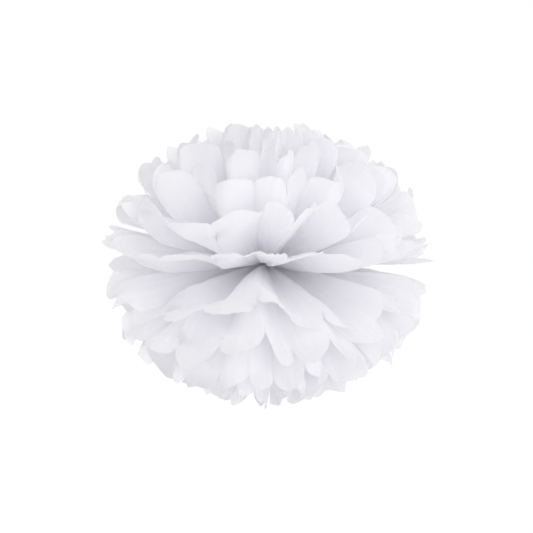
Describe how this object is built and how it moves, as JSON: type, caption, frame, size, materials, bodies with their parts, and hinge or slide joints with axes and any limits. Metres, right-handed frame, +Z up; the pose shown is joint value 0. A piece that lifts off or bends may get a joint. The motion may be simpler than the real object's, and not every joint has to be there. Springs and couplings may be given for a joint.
{
  "type": "tissue paper pom pom",
  "caption": "Round hanging pom pom of pleated tissue paper sheets, tied at the waist with wire and opened into a ball of round-ended petals.",
  "frame": {"origin": "centre of the eye in the binding wire, from which the ball hangs", "axes": "+Z up, square to the stacked sheets; the strips run along Y and the wire is wound in the XZ plane"},
  "size_m": [0.3511, 0.3409, 0.295],
  "materials": {
    "tissue": "matt white tissue paper",
    "wire": "white coated binding wire"
  },
  "bodies": {
    "root": {"tissue_sheet_01": "tissue", "tissue_sheet_02": "tissue", "tissue_sheet_03": "tissue", "tissue_sheet_04": "tissue", "tissue_sheet_05": "tissue", "tissue_sheet_06": "tissue", "tissue_sheet_07": "tissue", "tissue_sheet_08": "tissue", "tissue_sheet_09": "tissue", "tissue_sheet_10": "tissue", "binding_wire": "wire"}
  },
  "joints": []
}
